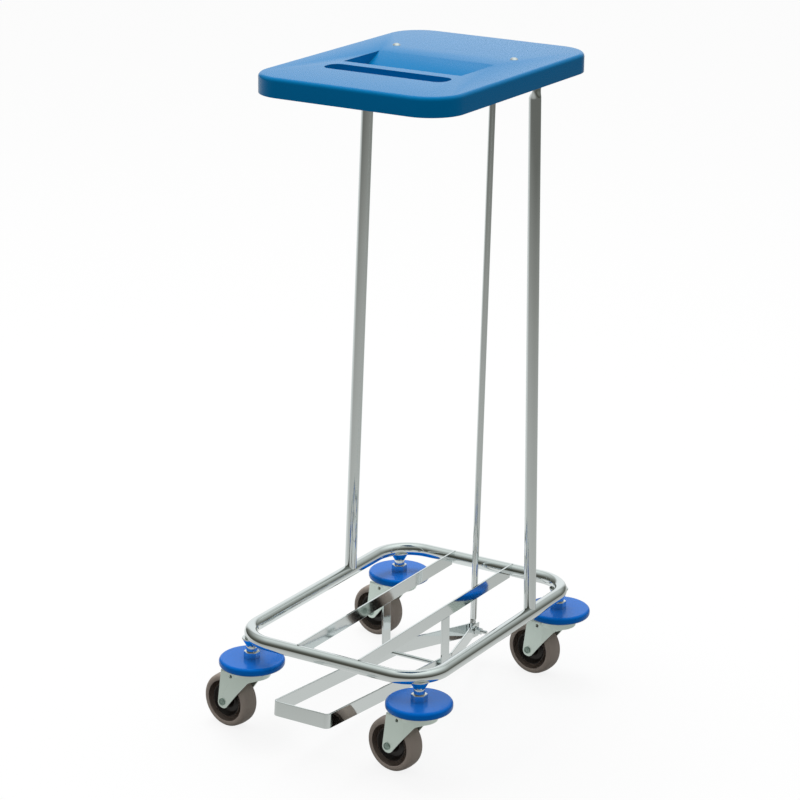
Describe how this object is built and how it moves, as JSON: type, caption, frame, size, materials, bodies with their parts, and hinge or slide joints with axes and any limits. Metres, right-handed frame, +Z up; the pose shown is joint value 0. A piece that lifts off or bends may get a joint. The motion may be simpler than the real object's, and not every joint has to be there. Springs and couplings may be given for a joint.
{
  "type": "laundry sack holder",
  "caption": "Mobile laundry sack holder: tube base on swivel castors with bumper discs, two uprights, sack ring, and a moulded lid lifted by a foot pedal.",
  "frame": {"origin": "on the floor, under the middle of the rectangular base loop", "axes": "+Z up; -Y to the front, where the pedal sticks out; +X to the right as a person at the pedal sees it"},
  "size_m": [0.4189, 0.5557, 0.9853],
  "materials": {
    "chrome_tube": "polished",
    "chrome_bar": "polished",
    "plated_hardware": "polished",
    "plated_strip": "satin",
    "lid_blue": "satin moulded",
    "bumper_blue": "gloss",
    "zinc": "bright zinc plate",
    "tyre_grey": "matte",
    "hub_dark": "matte",
    "buffer_rubber": "matte"
  },
  "bodies": {
    "frame": {"base_frame": "chrome_tube", "support_bar_left": "chrome_bar", "support_bar_right": "chrome_bar", "pedal_bracket_left": "chrome_bar", "pedal_bracket_right": "chrome_bar", "pedal_axle": "plated_hardware", "axle_caps": "plated_hardware", "axle_spacers": "plated_hardware", "sack_ring": "chrome_tube", "upright_left": "chrome_tube", "upright_right": "chrome_tube", "castor_nuts": "plated_hardware", "castor_boss_fl": "plated_hardware", "castor_stem_fl": "plated_hardware", "castor_race_fl": "zinc", "bumper_disc_fl": "bumper_blue", "castor_boss_fr": "plated_hardware", "castor_stem_fr": "plated_hardware", "castor_race_fr": "zinc", "bumper_disc_fr": "bumper_blue", "castor_boss_rl": "plated_hardware", "castor_stem_rl": "plated_hardware", "castor_race_rl": "zinc", "bumper_disc_rl": "bumper_blue", "castor_boss_rr": "plated_hardware", "castor_stem_rr": "plated_hardware", "castor_race_rr": "zinc", "bumper_disc_rr": "bumper_blue"},
    "pedal": {"pedal_bar": "chrome_bar", "rod_bolt": "plated_hardware", "rod_bolt_washers": "plated_hardware", "rod_bolt_nut": "plated_hardware"},
    "rod": {"push_rod": "chrome_tube", "rod_pin": "plated_hardware", "rod_pin_washers": "plated_hardware"},
    "lid": {"lid": "lid_blue", "hinge_strap_left": "plated_strip", "hinge_strap_right": "plated_strip", "lid_cross_bar": "plated_strip", "lid_clevis": "plated_strip", "lid_screws": "plated_hardware", "lid_screw_nuts": "plated_hardware", "lid_buffers": "buffer_rubber"},
    "fork_fl": {"castor_fork_fl": "zinc", "castor_axle_fl": "zinc"},
    "wheel_fl": {"castor_hub_fl": "hub_dark", "castor_tyre_fl": "tyre_grey"},
    "fork_fr": {"castor_fork_fr": "zinc", "castor_axle_fr": "zinc"},
    "wheel_fr": {"castor_hub_fr": "hub_dark", "castor_tyre_fr": "tyre_grey"},
    "fork_rl": {"castor_fork_rl": "zinc", "castor_axle_rl": "zinc"},
    "wheel_rl": {"castor_hub_rl": "hub_dark", "castor_tyre_rl": "tyre_grey"},
    "fork_rr": {"castor_fork_rr": "zinc", "castor_axle_rr": "zinc"},
    "wheel_rr": {"castor_hub_rr": "hub_dark", "castor_tyre_rr": "tyre_grey"}
  },
  "joints": [
    {"name": "pedal_hinge", "type": "hinge", "parent": "frame", "child": "pedal", "pos_m": [0, 0.02, 0.068], "axis": [1, 0, 0], "range_deg": [0, 10.7]},
    {"name": "rod_pivot", "type": "hinge", "parent": "pedal", "child": "rod", "pos_m": [0, 0.19597, 0.05307], "axis": [1, 0, 0], "range_deg": [-10.7, 0]},
    {"name": "lid_hinge", "type": "hinge", "parent": "frame", "child": "lid", "pos_m": [0, 0.233, 0.9717], "axis": [-1, 0, 0], "range_deg": [0, 62.01]},
    {"name": "swivel_fl", "type": "hinge", "parent": "frame", "child": "fork_fl", "pos_m": [-0.14331, -0.20811, 0.1], "axis": [0, 0, 1], "continuous": true},
    {"name": "spin_fl", "type": "hinge", "parent": "fork_fl", "child": "wheel_fl", "pos_m": [-0.18535, -0.20258, 0.0415], "axis": [0.1305, 0.9914, 0], "continuous": true},
    {"name": "swivel_fr", "type": "hinge", "parent": "frame", "child": "fork_fr", "pos_m": [0.14331, -0.20811, 0.1], "axis": [0, 0, 1], "continuous": true},
    {"name": "spin_fr", "type": "hinge", "parent": "fork_fr", "child": "wheel_fr", "pos_m": [0.10128, -0.20258, 0.0415], "axis": [0.1305, 0.9914, 0], "continuous": true},
    {"name": "swivel_rl", "type": "hinge", "parent": "frame", "child": "fork_rl", "pos_m": [-0.14331, 0.20811, 0.1], "axis": [0, 0, 1], "continuous": true},
    {"name": "spin_rl", "type": "hinge", "parent": "fork_rl", "child": "wheel_rl", "pos_m": [-0.18535, 0.21365, 0.0415], "axis": [0.1305, 0.9914, 0], "continuous": true},
    {"name": "swivel_rr", "type": "hinge", "parent": "frame", "child": "fork_rr", "pos_m": [0.14331, 0.20811, 0.1], "axis": [0, 0, 1], "continuous": true},
    {"name": "spin_rr", "type": "hinge", "parent": "fork_rr", "child": "wheel_rr", "pos_m": [0.10128, 0.21365, 0.0415], "axis": [0.1305, 0.9914, 0], "continuous": true}
  ],
  "couplings": [
    {"joint": "rod_pivot", "follows": "pedal_hinge", "ratio": -1},
    {"joint": "lid_hinge", "follows": "pedal_hinge", "ratio": 5.7944}
  ]
}
